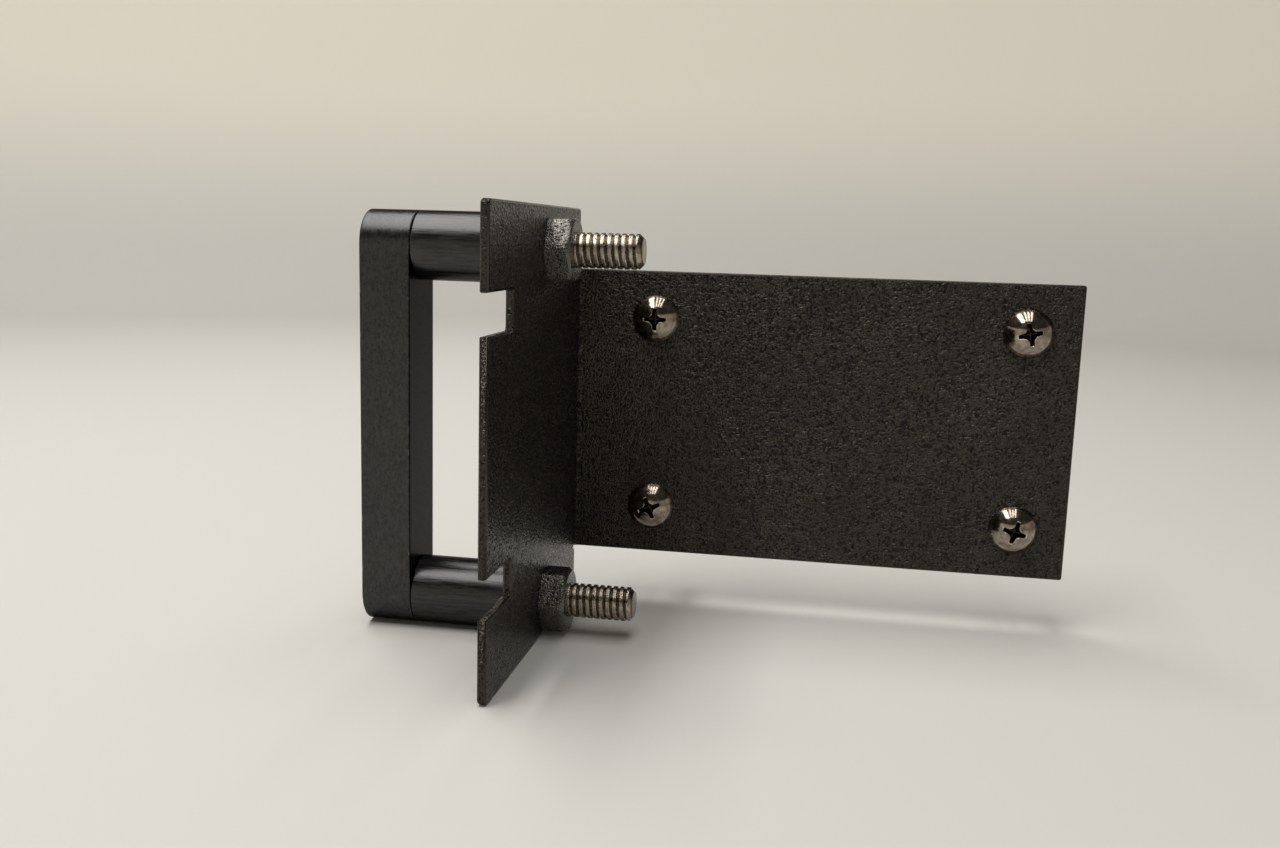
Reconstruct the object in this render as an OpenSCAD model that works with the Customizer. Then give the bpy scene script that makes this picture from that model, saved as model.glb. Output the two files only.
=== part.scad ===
// Rack mount ear bracket with a front pull handle.
// A folded sheet-metal ear: its leg screws to the side of a chassis, and its flange stands out
// sideways behind the front panel, with two open notches for the rack screws.
// Two long studs tie the handle, the front panel and the flange together through weld nuts.
//
// Frame: the origin is the centre of the four-screw pattern on the face that meets the chassis.
// +X runs to the rear of the chassis, +Y into the chassis, +Z up. Millimetres.

/* [Ear bracket] */
// Thickness of the folded sheet
sheet_t = 1.5; // [1:0.1:2.5]
// Inside radius of the fold
bend_r = 0.8; // [0.5:0.1:2]
// Width of the flange, from the chassis face to its outer edge
flange_w = 63.5; // [55:0.5:80]
// Height of the flange
flange_h = 79; // [74:0.5:100]
// How far the middle of the flange and of its notches is above the middle of the leg
flange_rise = 0.8; // [0:0.1:2]
// Length of the leg, from the front face of the flange to its rear end
leg_len = 98.4; // [95:0.2:130]
// Height of the leg
leg_h = 57; // [50:0.5:59]
// Radius of the four corners of the flange
corner_r = 1; // [0.5:0.1:4]
// Radius of the two rear corners of the leg
leg_corner_r = 0.5; // [0.3:0.1:4]

/* [Rack notches] */
// Distance between the centre lines of the two notches
notch_pitch = 44.45; // [40:0.05:52]
// Height of a notch
notch_h = 6.6; // [6:0.1:8]
// Depth of a notch, from the outer edge to its inner end
notch_depth = 14; // [8:0.5:18]
// Radius of a notch's two inner corners
notch_r = 0.8; // [0.4:0.1:3]

/* [Side screws] */
// Distance between the screws along the leg
screw_span_x = 71.4; // [50:0.2:75]
// Distance between the screws across the leg
screw_span_z = 38.1; // [28:0.1:42]
// Distance from the rear pair of screws to the end of the leg
rear_edge = 9.8; // [7:0.1:14]
// Diameter of the screw thread
screw_d = 4.8; // [4:0.1:5.2]
// Length of the screws, under the head
screw_len = 9.5; // [6:0.5:16]
// Diameter of the pan head
head_d = 9.4; // [8:0.1:10]
// Height of the pan head
head_h = 3; // [2.4:0.1:3.6]

/* [Studs and weld nuts] */
// Diameter of the studs
stud_d = 6.35; // [5:0.05:7]
// Distance between the two studs
stud_pitch = 65; // [62:0.5:67]
// Distance from the outer edge of the flange to the studs
stud_edge = 38.2; // [28:0.2:42]
// How far a stud stands out of its nut
stud_out = 12.2; // [6:0.2:20]
// Depth of the stud's end in the handle bar
stud_seat = 6; // [4:0.5:7]
// Width of a nut across its flats
nut_af = 11.1; // [10:0.1:12]
// Thickness of a nut
nut_h = 4.7; // [4:0.1:6]

/* [Handle] */
// Diameter of the posts, and width of the bar across its round ends
bar_w = 12.7; // [11:0.1:14]
// Thickness of the bar
bar_t = 9.5; // [8:0.1:12]
// Length of the posts, which sets the room for fingers
post_len = 20; // [18:0.5:40]
// Thickness of the front panel that is clamped between the posts and the flange
panel_t = 3; // [2:0.1:4]

/* [Fits] */
// Clearance on the diameter of the drilled holes
hole_fit = 0.4; // [0.2:0.1:0.8]
// Clearance on the diameter where a thread is engaged
thread_fit = 0.1; // [0.04:0.02:0.2]

/* [Hidden] */
$fn = 64;
eps = 1;                                    // overshoot of every cut, so that no face is left behind
leg_x1 = screw_span_x / 2 + rear_edge;      // rear end of the leg
face_x = leg_x1 - leg_len;                  // front face of the flange
flange_x = face_x + sheet_t;                // rear face of the flange
edge_y = -flange_w;                         // outer edge of the flange
bend_out = bend_r + sheet_t;                // outside radius of the fold
stud_y = edge_y + stud_edge;                // axis of the studs and posts
post_x1 = face_x - panel_t;                 // rear end of the posts, on the front panel
post_x0 = post_x1 - post_len;               // seam between the posts and the bar
bar_x0 = post_x0 - bar_t;                   // front of the bar
stud_x0 = post_x0 - stud_seat;              // front end of a stud, inside the bar
stud_x1 = flange_x + nut_h + stud_out;      // free end of a stud
edge_c = 0.3;                               // broken edges of the turned and milled parts
relief = 0.8;                               // slit that frees the fold from the flange
neck_len = sheet_t + 0.1;                   // plain neck of a screw, as long as the sheet is thick
black = [0.08, 0.08, 0.09];
bronze = [0.36, 0.31, 0.27];
anodised = [0.12, 0.12, 0.13];

// Turns a part built up along +Z so that it runs along +X
module along_x() rotate([0, 90, 0]) children();

// Flat outline with its lower left corner at the origin, and round where corners says so
// (lower left, lower right, upper right, upper left)
module plate_outline(w, h, r, corners = [1, 1, 1, 1]) {
    spots = [[0, 0], [w, 0], [w, h], [0, h]];
    difference() {
        square([w, h]);
        for (i = [0:3]) if (corners[i] == 1)
            translate(spots[i]) rotate(90 * i) difference() {
                translate([-eps, -eps]) square(r + eps);
                translate([r, r]) circle(r);
            }
    }
}

// Outline of one notch: open at the outer edge, with rounded inner corners
module notch_outline() {
    translate([-eps, -notch_h / 2]) plate_outline(notch_depth + eps, notch_h, notch_r, [0, 1, 1, 0]);
}

// The flange, drawn from its outer edge (x) and the mid height of the leg (y), then stood across
// the rack.
// Its inner edge is set back beside the leg, where the sheet turns into the fold.
module flange() {
    w = flange_w - sheet_t;
    translate([face_x, edge_y, 0]) rotate([90, 0, 90]) linear_extrude(sheet_t) difference() {
        translate([0, flange_rise - flange_h / 2]) plate_outline(w, flange_h, corner_r);
        for (s = [-1, 1]) {
            translate([0, flange_rise + s * notch_pitch / 2]) notch_outline();
            translate([stud_edge, s * stud_pitch / 2]) circle(d = stud_d + hole_fit);
        }
        translate([w - bend_r, -leg_h / 2 - relief]) square([bend_r + eps, leg_h + 2 * relief]);
    }
}

// The quarter-round fold between the flange and the leg
module fold() {
    translate([face_x + bend_out, -bend_out, -leg_h / 2]) linear_extrude(leg_h) difference() {
        circle(bend_out);
        circle(bend_r);
        translate([0, -2 * bend_out]) square([2 * bend_out, 4 * bend_out]);
        translate([-2 * bend_out, -2 * bend_out]) square([4 * bend_out, 2 * bend_out]);
    }
}

// The leg, drilled for the side screws
module leg() {
    translate([face_x + bend_out, 0, -leg_h / 2]) rotate([90, 0, 0]) linear_extrude(sheet_t) difference() {
        plate_outline(leg_len - bend_out, leg_h, leg_corner_r, [0, 1, 1, 0]);
        for (sx = [-1, 1], sz = [-1, 1])
            translate([leg_len - bend_out - leg_x1 + sx * screw_span_x / 2, leg_h / 2 + sz * screw_span_z / 2])
                circle(d = screw_d + hole_fit);
    }
}

module ear_bracket() {
    color(black) union() {
        flange();
        fold();
        leg();
    }
}

// Hexagon nut, flats up and down, with its rear corners chamfered; level is +1 or -1
module weld_nut(level) {
    corner = nut_af / sqrt(3);
    color(black) translate([flange_x, stud_y, level * stud_pitch / 2]) along_x() difference() {
        intersection() {
            rotate(90) cylinder(r = corner, h = nut_h, $fn = 6);
            union() {
                cylinder(r = corner + eps, h = nut_h - (corner - nut_af / 2));
                translate([0, 0, nut_h - (corner - nut_af / 2)])
                    cylinder(r1 = corner + 0.1, r2 = nut_af / 2 - 0.2, h = corner - nut_af / 2);
            }
        }
        translate([0, 0, -eps]) cylinder(d = stud_d + thread_fit, h = nut_h + 2 * eps);
    }
}

// Long stud from the bar, through post, panel, flange and nut, to its chamfered free end
module handle_stud(level) {
    r = stud_d / 2;
    c = r / 4;
    color(bronze) translate([stud_x0, stud_y, level * stud_pitch / 2]) along_x() rotate_extrude()
        polygon([[0, 0], [r - c, 0], [r, c], [r, stud_x1 - stud_x0 - c], [r - c, stud_x1 - stud_x0],
                 [0, stud_x1 - stud_x0]]);
}

// Section of the bar, from the seam forwards, with broken edges; half of it turns the round ends
function bar_section(half) = [
    [half ? 0 : edge_c - bar_w / 2, 0], [bar_w / 2 - edge_c, 0], [bar_w / 2, edge_c],
    [bar_w / 2, bar_t - edge_c], [bar_w / 2 - edge_c, bar_t], [half ? 0 : edge_c - bar_w / 2, bar_t],
    if (!half) [-bar_w / 2, bar_t - edge_c], if (!half) [-bar_w / 2, edge_c]
];

// Flat bar with full-round ends, bored blind from behind for the two studs
module handle_bar() {
    color(anodised) translate([bar_x0, stud_y, 0]) difference() {
        union() {
            translate([0, 0, -stud_pitch / 2]) linear_extrude(stud_pitch) rotate(-90) mirror([1, 0])
                polygon(bar_section(false));
            for (s = [-1, 1]) translate([0, 0, s * stud_pitch / 2]) along_x()
                rotate_extrude() polygon(bar_section(true));
        }
        for (s = [-1, 1]) translate([bar_t - stud_seat - hole_fit, 0, s * stud_pitch / 2]) along_x()
            cylinder(d = stud_d + thread_fit, h = stud_seat + hole_fit + eps);
    }
}

// Round post between the bar and the front panel, bored through for its stud
module handle_post(level) {
    r = bar_w / 2;
    bore = (stud_d + hole_fit) / 2;
    color(anodised) translate([post_x0, stud_y, level * stud_pitch / 2]) along_x() rotate_extrude()
        polygon([[bore, 0], [r - edge_c, 0], [r, edge_c], [r, post_len - edge_c],
                 [r - edge_c, post_len], [bore, post_len]]);
}

// Cross recess: two tapered wings and a conical centre
module cross_recess() {
    depth = head_h * 0.7;
    for (a = [0, 90]) rotate(a) rotate([90, 0, 0]) linear_extrude(head_d / 9, center = true)
        polygon([[-head_d / 10, -depth], [head_d / 10, -depth], [head_d / 3, eps / 4], [-head_d / 3, eps / 4]]);
    translate([0, 0, -depth]) cylinder(d1 = head_d / 7, d2 = head_d / 4, h = depth + eps / 4);
}

// Round pan-head screw through the leg into the chassis: column -1 front or +1 rear, level -1 or +1,
// and the angle at which its recess came to rest
module side_screw(column, level, turn) {
    r = screw_d / 2;
    neck = r * 0.9;
    c = r / 3;
    rise = head_h * 0.9;
    ball = (head_d * head_d / 4 + rise * rise) / (2 * rise);
    dome = [for (i = [8:-1:0]) let(x = i * head_d / 16) [x, head_h - ball + sqrt(ball * ball - x * x)]];
    color(bronze) translate([column * screw_span_x / 2, -sheet_t, level * screw_span_z / 2])
        rotate([90, 0, 0]) difference() {
            rotate_extrude() polygon(concat(
                [[0, -screw_len], [r - c, -screw_len], [r, c - screw_len], [r, -neck_len], [neck, -neck_len],
                 [neck, 0], [head_d / 2, 0]],
                dome));
            translate([0, 0, head_h]) rotate(turn) cross_recess();
        }
}

ear_bracket();
weld_nut(1);  // weld_nut_upper
weld_nut(-1);  // weld_nut_lower
handle_stud(1);  // handle_stud_upper
handle_stud(-1);  // handle_stud_lower
handle_bar();
handle_post(1);  // handle_post_upper
handle_post(-1);  // handle_post_lower
side_screw(-1, 1, 1);  // screw_upper_front
side_screw(1, 1, 13);  // screw_upper_rear
side_screw(-1, -1, 22);  // screw_lower_front
side_screw(1, -1, -16);  // screw_lower_rear
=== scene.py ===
# Rack mount ear bracket with its pull handle, weld nuts, studs and side screws.
# Every length in the dictionaries is in millimetres; places come from the frame's own boxes.
import math
import bmesh
import bpy
import numpy as np
from mathutils import Matrix, Vector, geometry


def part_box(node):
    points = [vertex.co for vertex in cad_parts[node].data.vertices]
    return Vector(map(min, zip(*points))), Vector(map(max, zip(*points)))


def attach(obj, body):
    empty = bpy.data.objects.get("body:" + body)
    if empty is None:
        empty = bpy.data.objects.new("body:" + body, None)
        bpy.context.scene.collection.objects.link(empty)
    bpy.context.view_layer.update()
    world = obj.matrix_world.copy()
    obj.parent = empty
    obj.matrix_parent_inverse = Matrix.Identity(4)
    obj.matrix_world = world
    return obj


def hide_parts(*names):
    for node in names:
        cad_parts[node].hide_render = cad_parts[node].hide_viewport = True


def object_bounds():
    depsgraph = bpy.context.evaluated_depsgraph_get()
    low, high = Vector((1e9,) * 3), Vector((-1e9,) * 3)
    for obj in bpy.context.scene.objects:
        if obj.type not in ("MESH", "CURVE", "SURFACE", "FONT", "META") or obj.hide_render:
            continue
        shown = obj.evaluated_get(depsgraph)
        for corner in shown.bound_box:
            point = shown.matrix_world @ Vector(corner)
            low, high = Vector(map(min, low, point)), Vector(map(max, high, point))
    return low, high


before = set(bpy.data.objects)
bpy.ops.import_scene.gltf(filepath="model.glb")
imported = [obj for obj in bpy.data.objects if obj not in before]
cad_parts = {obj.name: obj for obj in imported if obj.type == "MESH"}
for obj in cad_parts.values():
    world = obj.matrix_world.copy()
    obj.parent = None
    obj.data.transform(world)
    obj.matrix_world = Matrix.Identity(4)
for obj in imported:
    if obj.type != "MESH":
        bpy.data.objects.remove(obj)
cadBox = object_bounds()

scene = bpy.context.scene
mm = 0.001


def nodeBox(nodeName):
    # lowest and highest corner of a CAD node, in millimetres
    low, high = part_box(nodeName)
    return np.array(low) / mm, np.array(high) / mm


# angles in radians; lens and sensor as on a full-frame camera
camera = {"eye": (0.56, -233.64, 35.82), "yaw": 0.1662, "pitch": 0.1606, "roll": -0.0291,
          "lens": 33.145, "sensor": 36.0}


def aimCamera(s):
    # the view turns by yaw about the vertical, dips by pitch, then rolls about its own axis
    level = np.array([math.cos(s["yaw"]), math.sin(s["yaw"]), 0.0])
    ahead = np.array([-math.sin(s["yaw"]), math.cos(s["yaw"]), 0.0])
    upright = np.array([0.0, 0.0, 1.0])
    forward = math.cos(s["pitch"]) * ahead - math.sin(s["pitch"]) * upright
    above = math.sin(s["pitch"]) * ahead + math.cos(s["pitch"]) * upright
    right = math.cos(s["roll"]) * level - math.sin(s["roll"]) * above
    up = math.sin(s["roll"]) * level + math.cos(s["roll"]) * above
    data = bpy.data.cameras.new("studioCamera")
    data.sensor_fit = "HORIZONTAL"
    data.sensor_width = s["sensor"]
    data.lens = s["lens"]
    data.clip_start = 0.01
    data.clip_end = 20.0
    cameraObject = bpy.data.objects.new("studioCamera", data)
    turned = Matrix((right, up, -forward)).transposed().to_4x4()
    cameraObject.matrix_world = Matrix.Translation(Vector(s["eye"]) * mm) @ turned
    scene.collection.objects.link(cameraObject)
    scene.camera = cameraObject


aimCamera(camera)
print("camera set")


def gridFaces(rows, columns):
    # four-sided faces between neighbouring rings; the columns close round on themselves
    row = np.arange(rows - 1)[:, None] * columns
    here = np.arange(columns)[None, :]
    beside = (here + 1) % columns
    faces = np.stack([row + here, row + beside, row + columns + beside, row + columns + here], axis=-1)
    return faces.reshape(-1, 4)


def aroundAxis(radius, along, angle, centre, axis):
    # point = centre + along the axis + radius times the turning direction, for whole grids at once
    radius, along, angle = np.broadcast_arrays(radius, along, angle)
    axis = np.array(axis, float)
    first = np.array([0.0, 0.0, 1.0])
    second = np.cross(axis, first)
    turned = np.cos(angle)[..., None] * first + np.sin(angle)[..., None] * second
    return np.array(centre, float) + along[..., None] * axis + radius[..., None] * turned


def smoothLeast(a, b, width):
    # the smaller of two values, with the corner between them rounded over width
    blend = np.clip(0.5 + 0.5 * (b - a) / width, 0.0, 1.0)
    return b * (1 - blend) + a * blend - width * blend * (1 - blend)


def roundedProfile(corners, radii, steps=4, support=0.06):
    # a run of straight lines whose corners are arcs, with one extra point just beyond each arc,
    # so that the flats stay flat under smooth shading; edge is 1 on the arcs and 0 elsewhere
    points, edge = [], []
    corners = [np.array(c, float) for c in corners]
    for i, corner in enumerate(corners):
        radius = radii[i]
        if radius == 0:
            points.append(corner)
            edge.append(0.0)
            continue
        back = corners[i - 1] - corner
        on = corners[i + 1] - corner
        back, on = back / np.linalg.norm(back), on / np.linalg.norm(on)
        half = math.acos(np.clip(back @ on, -1, 1)) / 2
        reach = radius / math.tan(half)
        middle = corner + (back + on) / np.linalg.norm(back + on) * radius / math.sin(half)
        start, end = corner + back * reach - middle, corner + on * reach - middle
        sweep = math.pi - 2 * half
        t = np.linspace(0, 1, steps + 1)[:, None]
        arc = middle + (np.sin((1 - t) * sweep) * start + np.sin(t * sweep) * end) / math.sin(sweep)
        points += [corner + back * (reach + support), *arc, corner + on * (reach + support)]
        edge += [0.0, *[1.0] * (steps + 1), 0.0]
    return np.array(points), np.array(edge)


def makePiece(name, points, faces, edge, nodeName, material, paintedShade=None):
    # millimetres to metres, doubles merged, normals turned outwards, then hung under the root body with its CAD
    # node hidden
    mesh = bpy.data.meshes.new(name)
    mesh.from_pydata(points.reshape(-1, 3) * mm, [], [f for part in faces for f in part.tolist()])
    # edge marks the rounded edges; the second attribute marks where painted shade darkens the colour
    for layerName, values in (("edge", edge), ("paintedShade", paintedShade)):
        if values is not None:
            layer = mesh.attributes.new(layerName, "FLOAT", "POINT")
            layer.data.foreach_set("value", np.asarray(values, np.float32).ravel())
    shell = bmesh.new()
    shell.from_mesh(mesh)
    bmesh.ops.remove_doubles(shell, verts=shell.verts, dist=2e-7)
    bmesh.ops.dissolve_degenerate(shell, edges=shell.edges, dist=1e-8)
    bmesh.ops.recalc_face_normals(shell, faces=shell.faces)
    shell.to_mesh(mesh)
    openEdges = sum(1 for e in shell.edges if len(e.link_faces) != 2)
    shell.free()
    mesh.shade_smooth()
    piece = bpy.data.objects.new(name, mesh)
    scene.collection.objects.link(piece)
    piece.data.materials.append(material)
    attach(piece, "root")
    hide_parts(nodeName)
    print("made", name, len(mesh.polygons), "faces,", openEdges, "open edges")
    return piece


def newGroup(name, takes, gives):
    # an empty shader group with named sockets; takes and gives are (name, kind, default) rows
    group = bpy.data.node_groups.new(name, "ShaderNodeTree")
    for socketName, kind, default in takes:
        socket = group.interface.new_socket(name=socketName, in_out="INPUT", socket_type=kind)
        if default is not None:
            socket.default_value = default
    for socketName, kind in gives:
        group.interface.new_socket(name=socketName, in_out="OUTPUT", socket_type=kind)
    return group, group.nodes.new("NodeGroupInput"), group.nodes.new("NodeGroupOutput")


def add(tree, kind, values=None, **settings):
    # one node, with its settings by name and its socket values by socket name or number
    node = tree.nodes.new(kind)
    for key, value in settings.items():
        setattr(node, key, value)
    for key, value in (values or {}).items():
        node.inputs[key].default_value = value
    return node


def sums(tree, operation, a, b=None, c=None):
    # a Math node; each term is a number or an output socket
    node = add(tree, "ShaderNodeMath", operation=operation)
    for i, term in enumerate((a, b, c)):
        if term is None:
            continue
        if isinstance(term, (int, float)):
            node.inputs[i].default_value = term
        else:
            tree.links.new(term, node.inputs[i])
    return node.outputs[0]


def spread(tree, value, low, high, toLow=0.0, toHigh=1.0, smooth=True):
    # a Map Range node
    node = add(tree, "ShaderNodeMapRange", interpolation_type="SMOOTHSTEP" if smooth else "LINEAR")
    terms = {"Value": value, "From Min": low, "From Max": high, "To Min": toLow, "To Max": toHigh}
    for key, term in terms.items():
        if isinstance(term, (int, float)):
            node.inputs[key].default_value = term
        else:
            tree.links.new(term, node.inputs[key])
    return node.outputs[0]


def colourMix(tree, factor, first, second):
    # a colour Mix node; each colour is a triple or an output socket
    node = add(tree, "ShaderNodeMix", data_type="RGBA")
    tree.links.new(factor, node.inputs["Factor"])
    for socket, colour in ((node.inputs[6], first), (node.inputs[7], second)):
        if isinstance(colour, tuple):
            socket.default_value = (*colour, 1.0)
        else:
            tree.links.new(colour, socket)
    return node.outputs[2]


wrinkleShape = {"bendScale": 700.0, "ridgeWidth": 0.20, "fineScale": 3.1, "roughness": 0.45}


def wrinkleGroup(s):
    # short wandering ridges: fine noise bends the place at which a ridged noise is read
    group, taken, given = newGroup("wrinkleCoat", [
        ("Vector", "NodeSocketVector", None), ("Scale", "NodeSocketFloat", 900.0),
        ("Bend", "NodeSocketFloat", 0.0006), ("Fine", "NodeSocketFloat", 0.25)],
        [("Height", "NodeSocketFloat"), ("Ridge", "NodeSocketFloat")])
    links = group.links
    bend = add(group, "ShaderNodeTexNoise", {"Scale": s["bendScale"], "Detail": 1.0})
    links.new(taken.outputs["Vector"], bend.inputs["Vector"])
    centred = add(group, "ShaderNodeVectorMath", {1: (0.5, 0.5, 0.5)}, operation="SUBTRACT")
    links.new(bend.outputs["Color"], centred.inputs[0])
    scaled = add(group, "ShaderNodeVectorMath", operation="SCALE")
    links.new(centred.outputs[0], scaled.inputs[0])
    links.new(taken.outputs["Bend"], scaled.inputs["Scale"])
    moved = add(group, "ShaderNodeVectorMath", operation="ADD")
    links.new(taken.outputs["Vector"], moved.inputs[0])
    links.new(scaled.outputs[0], moved.inputs[1])
    wide = add(group, "ShaderNodeTexNoise", {"Detail": 1.0, "Roughness": s["roughness"]})
    links.new(moved.outputs[0], wide.inputs["Vector"])
    links.new(taken.outputs["Scale"], wide.inputs["Scale"])
    # distance of the noise from its middle value: 0 on the winding lines
    away = sums(group, "ABSOLUTE", sums(group, "SUBTRACT", wide.outputs["Fac"], 0.5))
    ridge = spread(group, away, s["ridgeWidth"], 0.0)
    fine = add(group, "ShaderNodeTexNoise", {"Detail": 2.0})
    links.new(taken.outputs["Vector"], fine.inputs["Vector"])
    links.new(sums(group, "MULTIPLY", taken.outputs["Scale"], s["fineScale"]), fine.inputs["Scale"])
    height = sums(group, "MULTIPLY_ADD", fine.outputs["Fac"], taken.outputs["Fine"], ridge)
    links.new(height, given.inputs["Height"])
    links.new(ridge, given.inputs["Ridge"])
    return group


def edgeWearGroup():
    # mask that is 1 where an edge has been rubbed: the edge attribute broken up by noise
    group, taken, given = newGroup("edgeWear", [
        ("Vector", "NodeSocketVector", None), ("Edge", "NodeSocketFloat", 0.0),
        ("Scale", "NodeSocketFloat", 600.0), ("Amount", "NodeSocketFloat", 0.5)],
        [("Mask", "NodeSocketFloat")])
    noise = add(group, "ShaderNodeTexNoise", {"Detail": 4.0, "Roughness": 0.6})
    group.links.new(taken.outputs["Vector"], noise.inputs["Vector"])
    group.links.new(taken.outputs["Scale"], noise.inputs["Scale"])
    start = sums(group, "SUBTRACT", 1.0, taken.outputs["Amount"])
    end = sums(group, "ADD", start, 0.12)
    broken = spread(group, noise.outputs["Fac"], start, end)
    group.links.new(sums(group, "MULTIPLY", broken, taken.outputs["Edge"]), given.inputs["Mask"])
    return group


grainShape = {"speckScale": 420.0, "speckReach": (0.13, 0.06), "speckShare": (0.72, 0.74)}


def grainGroup(s):
    # streaks: noise read on a place that is squeezed along one axis by Stretch
    group, taken, given = newGroup("metalGrain", [
        ("Vector", "NodeSocketVector", None), ("Scale", "NodeSocketFloat", 900.0),
        ("Stretch", "NodeSocketVector", (1.0, 1.0, 1.0)), ("Contrast", "NodeSocketFloat", 1.0)],
        [("Value", "NodeSocketFloat"), ("Speck", "NodeSocketFloat")])
    squeezed = add(group, "ShaderNodeVectorMath", operation="MULTIPLY")
    group.links.new(taken.outputs["Vector"], squeezed.inputs[0])
    group.links.new(taken.outputs["Stretch"], squeezed.inputs[1])
    noise = add(group, "ShaderNodeTexNoise", {"Detail": 3.0, "Roughness": 0.65})
    group.links.new(squeezed.outputs[0], noise.inputs["Vector"])
    group.links.new(taken.outputs["Scale"], noise.inputs["Scale"])
    centred = sums(group, "SUBTRACT", noise.outputs["Fac"], 0.5)
    value = sums(group, "MULTIPLY_ADD", centred, taken.outputs["Contrast"], 0.5)
    group.links.new(value, given.inputs["Value"])
    cells = add(group, "ShaderNodeTexVoronoi", {"Scale": s["speckScale"], "Randomness": 1.0})
    group.links.new(taken.outputs["Vector"], cells.inputs["Vector"])
    near = spread(group, cells.outputs["Distance"], *s["speckReach"])
    few = spread(group, cells.outputs["Color"], *s["speckShare"])
    group.links.new(sums(group, "MULTIPLY", near, few), given.inputs["Speck"])
    return group


wrinkle, edgeWear, metalGrain = wrinkleGroup(wrinkleShape), edgeWearGroup(), grainGroup(grainShape)
print("shader groups built")


def startMaterial(name):
    # a material with its shader, and the Object coordinates and edge attribute ready to use
    material = bpy.data.materials.new(name)
    material.use_nodes = True
    tree = material.node_tree
    shader = tree.nodes["Principled BSDF"]
    place = add(tree, "ShaderNodeTexCoord").outputs["Object"]
    edge = add(tree, "ShaderNodeAttribute", attribute_name="edge").outputs["Fac"]
    return material, tree, shader, place, edge


def useGroup(tree, group, place, **values):
    # one placed group, read at place; each value is a number, a triple or an output socket
    node = tree.nodes.new("ShaderNodeGroup")
    node.node_tree = group
    tree.links.new(place, node.inputs["Vector"])
    for key, value in values.items():
        if isinstance(value, (int, float, tuple)):
            node.inputs[key].default_value = value
        else:
            tree.links.new(value, node.inputs[key])
    return node.outputs


def bump(tree, shader, height, depth):
    # a Bump node on the shader's normal, with its depth in millimetres
    node = add(tree, "ShaderNodeBump", {"Strength": 1.0, "Distance": depth * mm})
    tree.links.new(height, node.inputs["Height"])
    tree.links.new(node.outputs["Normal"], shader.inputs["Normal"])


def coatMaterial(name, s):
    # black wrinkle powder coat: matte valleys between short ridges that shine, as the edges do
    material, tree, shader, place, edge = startMaterial(name)
    coat = useGroup(tree, wrinkle, place, Scale=s["scale"], Bend=s["bend"], Fine=s["fine"])
    worn = useGroup(tree, edgeWear, place, Edge=edge, Scale=s["wearScale"], Amount=s["wear"])
    cloud = add(tree, "ShaderNodeTexNoise", {"Scale": s["cloudScale"], "Detail": 3.0})
    tree.links.new(place, cloud.inputs["Vector"])
    lit = spread(tree, cloud.outputs["Fac"], 0.3, 0.7, 0.75, 1.0)
    shine = sums(tree, "MULTIPLY", spread(tree, coat["Ridge"], 0.02, 0.35), lit)
    shine = sums(tree, "MAXIMUM", shine, sums(tree, "MULTIPLY", edge, s["edgeShine"]))
    base = colourMix(tree, shine, s["valley"], s["ridge"])
    tree.links.new(colourMix(tree, worn["Mask"], base, s["rubbed"]), shader.inputs["Base Color"])
    tree.links.new(shine, shader.inputs["Metallic"])
    rough = spread(tree, coat["Height"], 0.0, 1.2, s["rough"][1], s["rough"][0], smooth=False)
    tree.links.new(rough, shader.inputs["Roughness"])
    shader.inputs["Specular IOR Level"].default_value = s["valleyGloss"]
    # the coat flows smooth over the edges
    calm = sums(tree, "MULTIPLY_ADD", edge, -s["edgeCalm"], 1.0)
    bump(tree, shader, sums(tree, "MULTIPLY", coat["Height"], calm), s["depth"])
    return material


def zincMaterial(name, s):
    # bronze-tinted zinc plate, with fine grain, and painted shade that darkens thread roots and recesses
    material, tree, shader, place, edge = startMaterial(name)
    grain = useGroup(tree, metalGrain, place, Scale=s["scale"], Stretch=s["stretch"],
                     Contrast=s["contrast"])
    worn = useGroup(tree, edgeWear, place, Edge=edge, Scale=s["wearScale"], Amount=s["wear"])
    base = colourMix(tree, spread(tree, grain["Value"], 0.2, 0.8), s["dark"], s["light"])
    # painted shade: the attribute darkens the colour in thread roots and in the screw recess
    paintedShade = add(tree, "ShaderNodeAttribute", attribute_name="paintedShade").outputs["Fac"]
    rubbed = colourMix(tree, worn["Mask"], base, s["rubbed"])
    tree.links.new(colourMix(tree, paintedShade, rubbed, s["paintedShade"]), shader.inputs["Base Color"])
    shader.inputs["Metallic"].default_value = 1.0
    rough = spread(tree, grain["Value"], 0.2, 0.8, *s["rough"])
    tree.links.new(rough, shader.inputs["Roughness"])
    bump(tree, shader, grain["Value"], s["depth"])
    return material


def anodisedMaterial(name, s):
    # satin black anodised aluminium, with streaks, pale specks and rubbed edges
    material, tree, shader, place, edge = startMaterial(name)
    grain = useGroup(tree, metalGrain, place, Scale=s["scale"], Stretch=s["stretch"],
                     Contrast=s["contrast"])
    worn = useGroup(tree, edgeWear, place, Edge=edge, Scale=s["wearScale"], Amount=s["wear"])
    base = colourMix(tree, spread(tree, grain["Value"], 0.2, 0.8), s["dark"], s["light"])
    specked = colourMix(tree, sums(tree, "MULTIPLY", grain["Speck"], 0.5), base, s["speck"])
    tree.links.new(colourMix(tree, worn["Mask"], specked, s["rubbed"]), shader.inputs["Base Color"])
    shader.inputs["Metallic"].default_value = 1.0
    # a grey tint keeps the faces seen at a glance from turning pale
    shader.inputs["Specular Tint"].default_value = (0.5, 0.5, 0.5, 1.0)
    rough = spread(tree, grain["Value"], 0.2, 0.8, *s["rough"])
    tree.links.new(rough, shader.inputs["Roughness"])
    bump(tree, shader, grain["Value"], s["depth"])
    return material


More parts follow.
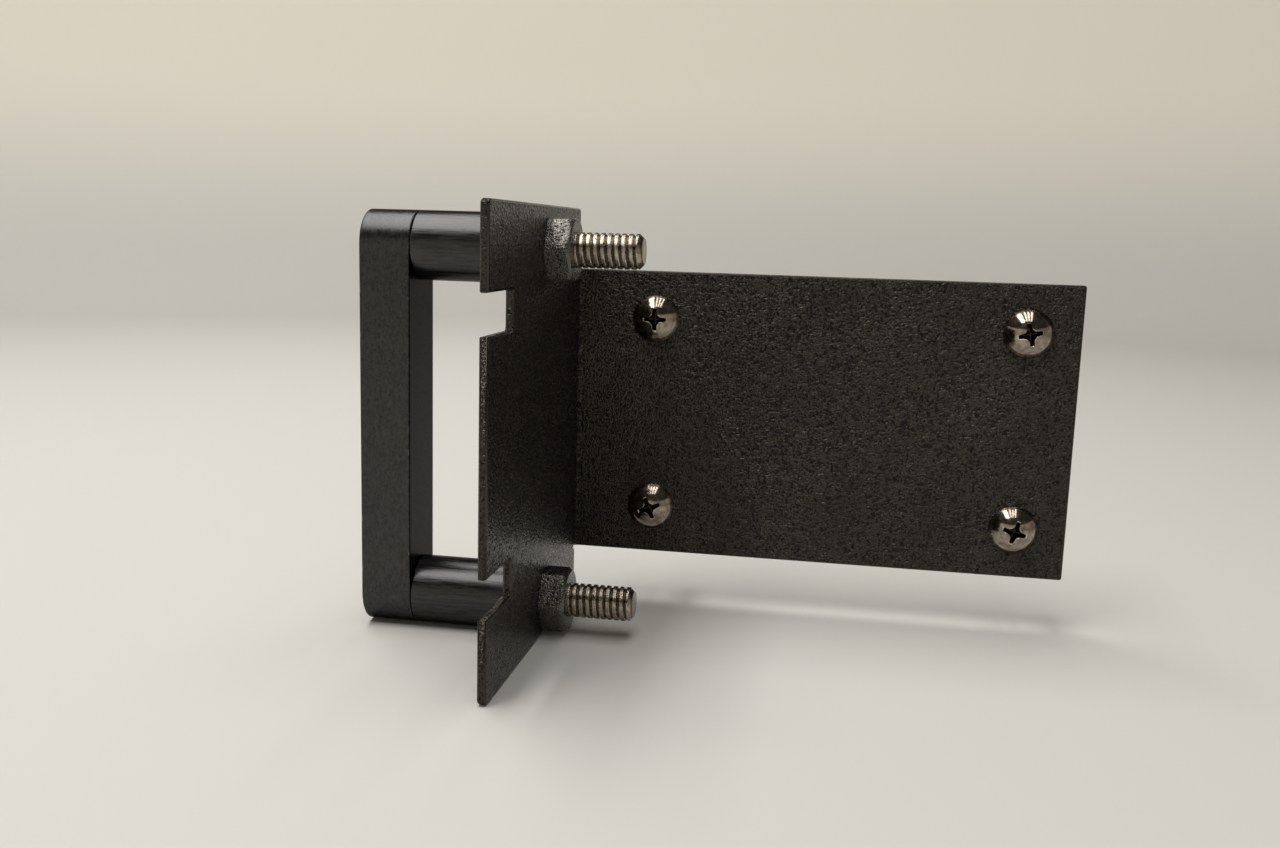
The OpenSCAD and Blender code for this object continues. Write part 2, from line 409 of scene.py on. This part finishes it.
earCoat = coatMaterial("earCoat", {
    "scale": 1400.0, "bend": 0.0003, "fine": 0.45, "depth": 0.19, "edgeCalm": 0.95, "edgeShine": 0.9,
    "cloudScale": 60.0, "valleyGloss": 0.15,
    "valley": (0.008, 0.007, 0.006), "ridge": (0.060, 0.054, 0.046),
    "rough": (0.18, 0.36), "wear": 0.40, "wearScale": 700.0, "rubbed": (0.09, 0.08, 0.066)})
nutCoat = coatMaterial("nutCoat", {
    "scale": 2200.0, "bend": 0.0002, "fine": 0.30, "depth": 0.05, "edgeCalm": 0.6, "edgeShine": 0.9,
    "cloudScale": 60.0, "valleyGloss": 0.15,
    "valley": (0.008, 0.007, 0.006), "ridge": (0.18, 0.168, 0.152),
    "rough": (0.20, 0.36), "wear": 0.40, "wearScale": 900.0, "rubbed": (0.14, 0.12, 0.10)})
# the darkest colour of each zinc setting below is painted shade, for thread roots and screw recesses
studZinc = zincMaterial("studZinc", {
    "scale": 1400.0, "stretch": (1.0, 1.0, 1.0), "contrast": 1.6,
    "depth": 0.004, "wear": 0.5, "wearScale": 900.0,
    "dark": (0.26, 0.215, 0.165), "light": (0.47, 0.405, 0.335), "rubbed": (0.72, 0.67, 0.60),
    "paintedShade": (0.05, 0.038, 0.028), "rough": (0.20, 0.36)})
screwNickel = zincMaterial("screwNickel", {
    "scale": 900.0, "stretch": (1.0, 1.0, 1.0), "contrast": 1.6,
    "depth": 0.003, "wear": 0.60, "wearScale": 900.0,
    "dark": (0.20, 0.167, 0.13), "light": (0.40, 0.34, 0.275), "rubbed": (0.66, 0.58, 0.46),
    "paintedShade": (0.03, 0.023, 0.016), "rough": (0.09, 0.17)})
barBlack = anodisedMaterial("barBlack", {
    "scale": 2200.0, "stretch": (1.0, 1.0, 0.6), "contrast": 1.4, "depth": 0.006,
    "wear": 0.44, "wearScale": 500.0,
    "dark": (0.039, 0.039, 0.039), "light": (0.065, 0.065, 0.064), "speck": (0.10, 0.09, 0.08),
    "rubbed": (0.16, 0.155, 0.15), "rough": (0.26, 0.36)})
postBlack = anodisedMaterial("postBlack", {
    "scale": 2600.0, "stretch": (0.08, 1.0, 1.0), "contrast": 1.4, "depth": 0.018,
    "wear": 0.44, "wearScale": 500.0,
    "dark": (0.039, 0.039, 0.039), "light": (0.065, 0.065, 0.064), "speck": (0.10, 0.09, 0.08),
    "rubbed": (0.16, 0.155, 0.15), "rough": (0.24, 0.36)})
print("materials made")


ear = {"sheet": 1.5, "foldRadius": 0.8, "edgeRound": 0.35, "flangeCorner": 1.0, "legCorner": 0.5,
       "legHeight": 57.0, "reliefSlit": 0.8, "notchPitch": 44.45, "notchHeight": 6.6, "notchDepth": 14.0,
       "notchCorner": 0.8, "studHole": 6.75, "screwHole": 5.2, "foldSteps": 14, "arcSteps": 8}


def arcPoints(centre, radius, start, end, steps):
    # points on a circle from one angle to the other, in degrees
    angle = np.radians(np.linspace(start, end, steps + 1))
    return np.stack([centre[0] + radius * np.cos(angle), centre[1] + radius * np.sin(angle)], axis=1)


def insetDirection(loop):
    # mitred direction into the metal: the sum of both side normals over one plus their product
    side = np.roll(loop, -1, axis=0) - loop
    side /= np.linalg.norm(side, axis=1)[:, None]
    normal = np.stack([-side[:, 1], side[:, 0]], axis=1)
    before = np.roll(normal, 1, axis=0)
    return (normal + before) / (1 + np.sum(normal * before, axis=1))[:, None]


def makeEar(s):
    low, high = nodeBox("ear_bracket")
    studLow, studHigh = nodeBox("handle_stud_upper")
    screwLow, screwHigh = nodeBox("screw_upper_rear")
    sheet, halfLeg = s["sheet"], s["legHeight"] / 2
    foldX, foldY = low[0] + s["foldRadius"] + sheet, -(s["foldRadius"] + sheet)  # centre of the fold
    foldLength = math.pi / 2 * (s["foldRadius"] + sheet / 2)
    # the flat pattern: across is the chassis X along the leg, then runs on through the fold
    foldEnd = foldX - foldLength
    outerEdge = foldEnd - (foldY - low[1])
    innerEdge = foldEnd + s["foldRadius"]
    c, legC, notchC, steps = s["flangeCorner"], s["legCorner"], s["notchCorner"], s["arcSteps"]
    relief = halfLeg + s["reliefSlit"]
    flangeMiddle = (low[2] + high[2]) / 2
    halfNotch, notchX = s["notchHeight"] / 2, outerEdge + s["notchDepth"]
    foldPlaces = np.linspace(foldEnd, foldX, s["foldSteps"] + 1)

    def notch(z):
        return [np.array([[outerEdge, z + halfNotch]]),
                arcPoints((notchX - notchC, z + halfNotch - notchC), notchC, 90, 0, steps),
                arcPoints((notchX - notchC, z - halfNotch + notchC), notchC, 0, -90, steps),
                np.array([[outerEdge, z - halfNotch]])]

    lower = np.stack([foldPlaces, np.full(len(foldPlaces), -halfLeg)], axis=1)
    upper = np.stack([foldPlaces[::-1], np.full(len(foldPlaces), halfLeg)], axis=1)
    outline = np.concatenate([
        arcPoints((outerEdge + c, low[2] + c), c, 180, 270, steps),
        arcPoints((innerEdge - c, low[2] + c), c, 270, 360, steps),
        np.array([[innerEdge, -relief], [foldEnd, -relief]]),
        lower,
        arcPoints((high[0] - legC, legC - halfLeg), legC, 270, 360, steps),
        arcPoints((high[0] - legC, halfLeg - legC), legC, 0, 90, steps),
        upper,
        np.array([[foldEnd, relief], [innerEdge, relief]]),
        arcPoints((innerEdge - c, high[2] - c), c, 0, 90, steps),
        arcPoints((outerEdge + c, high[2] - c), c, 90, 180, steps),
        *notch(flangeMiddle + s["notchPitch"] / 2), *notch(flangeMiddle - s["notchPitch"] / 2)])
    studAcross = foldEnd - (foldY - (studLow[1] + studHigh[1]) / 2)
    studZ = (studLow[2] + studHigh[2]) / 2
    screwX, screwZ = (screwLow[0] + screwHigh[0]) / 2, (screwLow[2] + screwHigh[2]) / 2
    holes = [arcPoints((studAcross, side * studZ), s["studHole"] / 2, 360, 0, 4 * steps)[:-1]
             for side in (-1, 1)]
    holes += [arcPoints((a * screwX, b * screwZ), s["screwHole"] / 2, 360, 0, 4 * steps)[:-1]
              for a in (-1, 1) for b in (-1, 1)]

    def fold(across, z, depth):
        # leg: (across, -sheet + depth); fold: a turn about its centre; flange: straight out along -Y
        beside = np.abs(z) > (halfLeg + relief) / 2
        turn = np.clip((foldX - across) / foldLength, 0, 1) * math.pi / 2
        turn = np.where(beside, math.pi / 2, turn)
        radius = s["foldRadius"] + depth
        straight = np.where(beside, foldEnd - across, np.maximum(foldEnd - across, 0))
        x = np.where((across > foldX) & ~beside, across, foldX - radius * np.sin(turn))
        y = foldY + radius * np.cos(turn) - straight
        return np.stack([x, y, z], axis=-1)

    # round-edged side wall: (inset, depth) pairs from one face to the other
    wall, edge = roundedProfile([(1, 0), (0, 0), (0, sheet), (1, sheet)],
                                [0, s["edgeRound"], s["edgeRound"], 0])
    wall, edge = wall[1:-1], edge[1:-1]
    points, faces, weights, first = [], [], [], 0
    rims = {0: [], 1: []}
    for loop in [outline, *holes]:
        inward = insetDirection(loop)
        flat = loop[None] + wall[:, 0, None, None] * inward[None]
        depth = np.broadcast_to(wall[:, 1, None], flat.shape[:2])
        points.append(fold(flat[..., 0], flat[..., 1], depth).reshape(-1, 3))
        weights.append(np.repeat(edge, len(loop)))
        faces.append(gridFaces(len(wall), len(loop)) + first)
        for face, row in ((0, 0), (1, len(wall) - 1)):
            rims[face].append((flat[row], first + row * len(loop) + np.arange(len(loop))))
        first += len(wall) * len(loop)

    # both broad faces: triangles between the rims, kept where they lie in the metal
    for face in (0, 1):
        flat = np.concatenate([r[0] for r in rims[face]])
        index = np.concatenate([r[1] for r in rims[face]])
        start = np.cumsum([0] + [len(r[0]) for r in rims[face]])
        sides = np.concatenate([np.stack([np.arange(a, b), np.roll(np.arange(a, b), -1)], axis=1)
                                for a, b in zip(start[:-1], start[1:])])
        onLeg = np.isclose(np.abs(outline[:, 1]), halfLeg)
        columns = [np.nonzero(np.isclose(outline[:, 0], place) & onLeg)[0] for place in foldPlaces]
        sides = np.concatenate([sides, np.array(columns)])
        filled = geometry.delaunay_2d_cdt([Vector(p) for p in flat.tolist()], sides.tolist(), [], 0, 1e-6)
        triangles = np.array(filled[2])
        middle = np.array([tuple(v) for v in filled[0]])[triangles].mean(axis=1)
        inside = np.zeros(len(middle), bool)
        for loop, _ in rims[face]:
            ahead = np.roll(loop, -1, axis=0)
            spans = (loop[:, 1] > middle[:, 1, None]) != (ahead[:, 1] > middle[:, 1, None])
            rise = np.where(ahead[:, 1] == loop[:, 1], 1.0, ahead[:, 1] - loop[:, 1])
            cross = loop[:, 0] + (middle[:, 1, None] - loop[:, 1]) / rise * (ahead[:, 0] - loop[:, 0])
            inside ^= (spans & (middle[:, 0, None] < cross)).sum(axis=1) % 2 == 1
        faces.append(index[triangles[inside]])
    makePiece("earSheet", np.concatenate(points), faces, np.concatenate(weights),
              "ear_bracket", earCoat)


makeEar(ear)


weldNut = {"acrossFlats": 11.1, "bore": 6.2, "cornerSoft": 0.7, "edgeSoft": 0.55, "angles": 180}


def makeNut(name, nodeName, s):
    # radius = the hexagon's, held under a cone at the rear end; flats face up and down
    low, high = nodeBox(nodeName)
    length = high[0] - low[0]
    centre = (low[0], (low[1] + high[1]) / 2, (low[2] + high[2]) / 2)
    angle = np.linspace(0, 2 * math.pi, s["angles"], endpoint=False)
    flat = s["acrossFlats"] / 2
    corner = flat / math.cos(math.pi / 6)
    folded = (angle + math.pi / 6) % (math.pi / 3) - math.pi / 6
    hexagon = smoothLeast(flat / np.cos(folded), np.full_like(angle, corner * 0.985), s["cornerSoft"])
    bevel = corner - flat
    along = np.concatenate([[0, 0.1], np.linspace(0.3, length - bevel - 0.8, 6),
                            np.linspace(length - bevel - 0.6, length - 0.02, 22)])
    cone = flat - 0.15 + np.maximum(length - along, 0) * 1.15
    outer = smoothLeast(hexagon[None], cone[:, None], s["edgeSoft"])
    rim = outer[-1]
    face = np.array([0.985, 0.96, 0.92, 0.85, 0.75, 0.65])[:, None] * rim[None]
    bore = np.full((3, len(angle)), s["bore"] / 2)
    radius = np.concatenate([bore[:1], outer, face, bore + np.array([[0.15], [0], [0]])])
    place = np.concatenate([[0], along, np.full(len(face), length), [length, length - 0.15, 0]])
    points = aroundAxis(radius, place[:, None], angle[None], centre, (1, 0, 0))
    bending = np.clip(1 - np.abs(outer - rim[None]) / 0.6, 0, 1) * (along[:, None] > length - 1.2)
    edge = np.concatenate([np.zeros((1, len(angle))), bending, np.zeros((9, len(angle)))])
    makePiece(name, points, [gridFaces(len(radius), len(angle))], edge, nodeName, nutCoat)


makeNut("weldNutUpper", "weld_nut_upper", weldNut)
makeNut("weldNutLower", "weld_nut_lower", weldNut)


def threadDepth(along, angle, pitch, depth, crest=0.50, root=0.08):
    # 0 on the crest and depth in the root, from a triangle wave of along / pitch minus the turn
    phase = (along / pitch - angle / (2 * math.pi)) % 1.0
    wave = np.abs(2 * phase - 1)
    ramp = np.clip((wave - crest) / (1 - crest - root), 0, 1)
    return depth * ramp * ramp * (3 - 2 * ramp) * 0.35 + depth * ramp * 0.65


stud = {"pitch": 1.27, "threadDepth": 0.38, "chamfer": 0.8, "threadFrom": 16.5,
        "perPitch": 16, "angles": 72}


def makeStud(name, nodeName, s):
    # a rod along X whose radius drops into a helical groove and runs out in chamfers
    low, high = nodeBox(nodeName)
    length, full = high[0] - low[0], (high[2] - low[2]) / 2
    centre = (low[0], (low[1] + high[1]) / 2, (low[2] + high[2]) / 2)
    angle = np.linspace(0, 2 * math.pi, s["angles"], endpoint=False)
    start = length - s["threadFrom"]
    threaded = np.linspace(start, length, int(s["threadFrom"] / s["pitch"] * s["perPitch"]))
    along = np.concatenate([[0, s["chamfer"] / 2, s["chamfer"], s["chamfer"] + 0.2], threaded])
    grown = np.clip((along - start) / s["pitch"], 0, 1)[:, None]
    groove = threadDepth(along[:, None], angle[None], s["pitch"], s["threadDepth"]) * grown
    taper = full - s["chamfer"] + np.minimum(along, length - along)
    radius = smoothLeast(full - groove, taper[:, None], 0.08)
    share = groove / s["threadDepth"]
    crest = np.clip(1 - np.abs(share - 0.08) / 0.12, 0, 1) * grown
    # painted shade: the colour darkens in the thread roots
    paintedShadeMask = np.clip(share * 1.6 - 0.6, 0, 1) * 0.8
    cap = np.array([1.0, 0.97, 0.8, 0.4, 0.0])[:, None]
    radius = np.concatenate([cap[::-1] * radius[:1], radius, cap * radius[-1:]])
    place = np.concatenate([np.zeros(5), along, length - np.array([0.05, 0.02, 0.0, 0.0, 0.0])])
    bare = np.zeros((5, len(angle)))
    points = aroundAxis(radius, place[:, None], angle[None], centre, (1, 0, 0))
    crest, paintedShadeMask = np.concatenate([bare, crest, bare]), np.concatenate([bare, paintedShadeMask, bare])
    makePiece(name, points, [gridFaces(len(radius), len(angle))], crest, nodeName, studZinc, paintedShadeMask)


makeStud("handleStudUpper", "handle_stud_upper", stud)
makeStud("handleStudLower", "handle_stud_lower", stud)


screw = {"headHeight": 3.0, "headDiameter": 9.4, "shank": 4.8, "sheet": 1.6, "pitch": 0.794,
         "threadDepth": 0.38, "rimHeight": 0.3, "wingReach": 2.35, "wingWidth": 0.72, "wingTaper": 0.13, "hub": 1.1,
         "recessDepth": 1.9, "angles": 192, "perPitch": 10}


def recessOutline(angle, s):
    # radius of the cross recess: four wings whose straight sides spread towards the centre,
    # joined by a round hub and cut off at the wing ends
    folded = np.abs((angle + math.pi / 4) % (math.pi / 2) - math.pi / 4)
    slope = s["wingTaper"]
    wings = (s["wingWidth"] / 2 + s["wingReach"] * slope) / (np.sin(folded) + slope * np.cos(folded))
    widest = -smoothLeast(-wings, np.full_like(angle, -s["hub"]), 0.3)
    return smoothLeast(widest, np.full_like(angle, s["wingReach"]), 0.3)


def makeScrew(name, nodeName, turn, s):
    # rings from the recess floor, over the head, down its rim, along the threaded shank to its point
    low, high = nodeBox(nodeName)
    centre = ((low[0] + high[0]) / 2, low[1] + s["headHeight"], (low[2] + high[2]) / 2)
    angle = np.linspace(0, 2 * math.pi, s["angles"], endpoint=False)
    full, wall = s["headDiameter"] / 2, s["rimHeight"]
    recess = recessOutline(angle - math.radians(turn), s)

    rise = s["headHeight"] - wall
    ball = (full * full + rise * rise) / (2 * rise)

    def dome(radius):
        # head height over its seat: part of a ball on a low rim
        return s["headHeight"] - ball + np.sqrt(ball * ball - radius * radius)

    # recess: floor, wall, then its rim rolled over onto the crown
    sunk = np.array([0.0, 0.30, 0.55, 0.60, 0.68, 0.78, 0.88, 0.955])
    drop = np.array([1.0, 0.97, 0.85, 0.78, 0.60, 0.38, 0.16, 0.03]) * s["recessDepth"]
    inner = sunk[:, None] * recess[None]
    # the floor meets in one point: the crown's own height comes in with the distance from the middle
    innerUp = dome(0.0) + (dome(recess) - dome(0.0))[None] * sunk[:, None] - drop[:, None]
    # crown and shoulder: from the recess rim out to the head's edge, closer together near both
    share = np.concatenate([[0.0, 0.012], np.sin(np.linspace(0.03, 1, 30) * math.pi / 2)])
    crown = recess[None] + share[:, None] * (full - 0.12 - recess[None])
    crownUp = dome(crown)
    rim = np.array([full - 0.05, full, full, full - 0.03, full - 0.12, full - 0.3])[:, None] + 0 * angle[None]
    rimUp = np.array([wall, wall - 0.07, 0.12, 0.03, 0.0, 0.0])[:, None] + 0 * angle[None]
    # shank: plain neck as long as the sheet is thick, then the thread, then a chamfered end
    shank, length = s["shank"] / 2, high[1] - centre[1]
    neck = shank * 0.9
    threaded = np.linspace(s["sheet"], length, int((length - s["sheet"]) / s["pitch"] * s["perPitch"]))
    grown = np.clip((threaded - s["sheet"]) / s["pitch"], 0, 1)[:, None]
    groove = threadDepth(threaded[:, None], angle[None], s["pitch"], s["threadDepth"])
    body = smoothLeast(shank - groove, (shank - 0.7 + (length - threaded))[:, None], 0.06)
    body = neck + (body - neck) * grown
    crest = np.clip(1 - groove / (0.25 * s["threadDepth"]), 0, 1) * grown
    cap = np.array([0.97, 0.6, 0.0])[:, None]
    radius = np.concatenate([inner, crown, rim, np.full((2, len(angle)), neck), body, cap * body[-1:]])
    up = np.concatenate([innerUp, crownUp, rimUp, np.array([0.0, -0.3])[:, None] + 0 * angle[None],
                         -threaded[:, None] + 0 * angle[None], np.full((3, len(angle)), -length)])
    rubbed = np.zeros_like(radius)
    rubbed[len(inner) - 1:len(inner) + 2] = 1.0
    rubbed[len(inner) + len(crown) + len(rim) + 2:-3] = crest
    # painted shade: the recess floor and walls are darkened, most at the bottom
    paintedShadeMask = np.zeros_like(radius)
    paintedShadeMask[:len(inner) - 1] = np.array([1.0, 1.0, 1.0, 0.95, 0.85, 0.7, 0.35])[:, None]
    points = aroundAxis(radius, up, angle[None], centre, (0, -1, 0))
    makePiece(name, points, [gridFaces(len(radius), len(angle))], rubbed, nodeName,
              screwNickel, paintedShadeMask)


makeScrew("screwUpperFront", "screw_upper_front", 1, screw)
makeScrew("screwUpperRear", "screw_upper_rear", 13, screw)
makeScrew("screwLowerFront", "screw_lower_front", 22, screw)
makeScrew("screwLowerRear", "screw_lower_rear", -16, screw)


handle = {"edgeRound": 0.3, "arcSteps": 32, "postBore": 6.75}


def makeBar(name, nodeName, s):
    # a rounded profile carried round a track: two half circles joined by straight runs
    low, high = nodeBox(nodeName)
    half = (high[1] - low[1]) / 2
    middle = (low + high) / 2
    reach = (high[2] - low[2]) / 2 - half
    profile, edge = roundedProfile([(0, low[0]), (half, low[0]), (half, high[0]), (0, high[0])],
                                   [0, s["edgeRound"], s["edgeRound"], 0])
    angle = np.concatenate([np.linspace(-90, 90, s["arcSteps"] + 1), np.linspace(90, 270, s["arcSteps"] + 1)])
    side = np.repeat([1, -1], s["arcSteps"] + 1)
    turn = np.radians(angle)
    y = middle[1] + profile[:, :1] * np.sin(turn)[None]
    z = middle[2] + side[None] * reach + profile[:, :1] * np.cos(turn)[None]
    x = np.broadcast_to(profile[:, 1:], y.shape)
    points = np.stack([x, y, z], axis=-1)
    weights = np.repeat(edge[:, None], len(angle), axis=1)
    makePiece(name, points, [gridFaces(len(profile), len(angle))], weights, nodeName, barBlack)


def makePost(name, nodeName, s):
    # a ring profile, bored through, turned about the stud's axis
    low, high = nodeBox(nodeName)
    radius, bore, length = (high[2] - low[2]) / 2, s["postBore"] / 2, high[0] - low[0]
    centre = (low[0], (low[1] + high[1]) / 2, (low[2] + high[2]) / 2)
    e = s["edgeRound"]
    corners = [(bore, length / 2), (bore, 0), (radius, 0), (radius, length), (bore, length), (bore, length / 2)]
    profile, edge = roundedProfile(corners, [0, 0.1, e, e, 0.1, 0])
    angle = np.linspace(0, 2 * math.pi, 4 * s["arcSteps"], endpoint=False)
    points = aroundAxis(profile[:, :1], profile[:, 1:], angle[None], centre, (1, 0, 0))
    weights = np.repeat(edge[:, None], len(angle), axis=1)
    makePiece(name, points, [gridFaces(len(profile), len(angle))], weights, nodeName, postBlack)


makeBar("handleBar", "handle_bar", handle)
makePost("handlePostUpper", "handle_post_upper", handle)
makePost("handlePostLower", "handle_post_lower", handle)


studio = {"floorRadius": 800.0, "sweepRadius": 250.0, "wallHeight": 420.0, "floorColour": (0.66, 0.65, 0.615),
          "wallColour": (0.90, 0.85, 0.745), "lampColour": (1.0, 0.985, 0.96), "fill": 0.06}


def makeStudio(s):
    # floor disc, quarter-round sweep and wall, all turned about the vertical through the object
    low, high = np.array(cadBox[0]) / mm, np.array(cadBox[1]) / mm
    centre = ((low[0] + high[0]) / 2, (low[1] + high[1]) / 2, low[2] - 0.02)
    bend = np.radians(np.linspace(0, 90, 17))
    radius = np.concatenate([[0, 200, 400], s["floorRadius"] + s["sweepRadius"] * np.sin(bend),
                             [s["floorRadius"] + s["sweepRadius"]]])
    up = np.concatenate([[0, 0, 0], s["sweepRadius"] * (1 - np.cos(bend)), [s["wallHeight"]]])
    angle = np.linspace(0, 2 * math.pi, 96, endpoint=False)
    points = np.stack([
        centre[0] + radius[:, None] * np.cos(angle), centre[1] + radius[:, None] * np.sin(angle),
        centre[2] + up[:, None] + 0 * angle], axis=-1)
    mesh = bpy.data.meshes.new("floorSweep")
    mesh.from_pydata(points.reshape(-1, 3) * mm, [], gridFaces(len(radius), len(angle)).tolist())
    mesh.shade_smooth()
    floor = bpy.data.objects.new("floorSweep", mesh)
    scene.collection.objects.link(floor)
    material = bpy.data.materials.new("paleFloor")
    material.use_nodes = True
    shader = material.node_tree.nodes["Principled BSDF"]
    tree = material.node_tree
    height = add(tree, "ShaderNodeSeparateXYZ")
    tree.links.new(add(tree, "ShaderNodeNewGeometry").outputs["Position"], height.inputs[0])
    rising = spread(tree, height.outputs["Z"], 0.0, 0.2)
    tree.links.new(colourMix(tree, rising, s["floorColour"], s["wallColour"]), shader.inputs["Base Color"])
    shader.inputs["Roughness"].default_value = 0.75
    floor.data.materials.append(material)
    world = bpy.data.worlds.new("softRoom")
    world.use_nodes = True
    world.node_tree.nodes["Background"].inputs["Color"].default_value = (*s["lampColour"], 1.0)
    world.node_tree.nodes["Background"].inputs["Strength"].default_value = s["fill"]
    scene.world = world
    return Vector(centre) * mm


# places are from the floor under the object's middle; each lamp faces along aim
lamps = {
    "keyLamp": {"place": (-325, -85, 800), "aim": (0, 0, -1), "size": (215, 1040), "power": 6.2},
    "stripLamp0": {"place": (-80, -50, 800), "aim": (0, 0, -1), "size": (46, 1000), "power": 0.95},
    "stripLamp1": {"place": (50, -50, 800), "aim": (0, 0, -1), "size": (46, 1000), "power": 0.95},
    "stripLamp2": {"place": (180, -50, 800), "aim": (0, 0, -1), "size": (46, 1000), "power": 0.95},
    "wallLamp": {"place": (0, 450, 700), "aim": (0, 0.75, -0.6), "size": (1200, 150), "power": 1.25}}


def makeLamp(name, s, middle, colour):
    # a rectangular lamp
    data = bpy.data.lights.new(name, "AREA")
    data.shape = "RECTANGLE"
    data.size, data.size_y = s["size"][0] * mm, s["size"][1] * mm
    data.energy = s["power"]
    data.color = colour
    lamp = bpy.data.objects.new(name, data)
    lamp.location = middle + Vector(s["place"]) * mm
    lamp.rotation_euler = Vector(s["aim"]).to_track_quat("-Z", "Y").to_euler()
    scene.collection.objects.link(lamp)


floorMiddle = makeStudio(studio)
for name, settings in lamps.items():
    makeLamp(name, settings, floorMiddle, studio["lampColour"])

scene.view_settings.view_transform = "Standard"
print("studio ready")
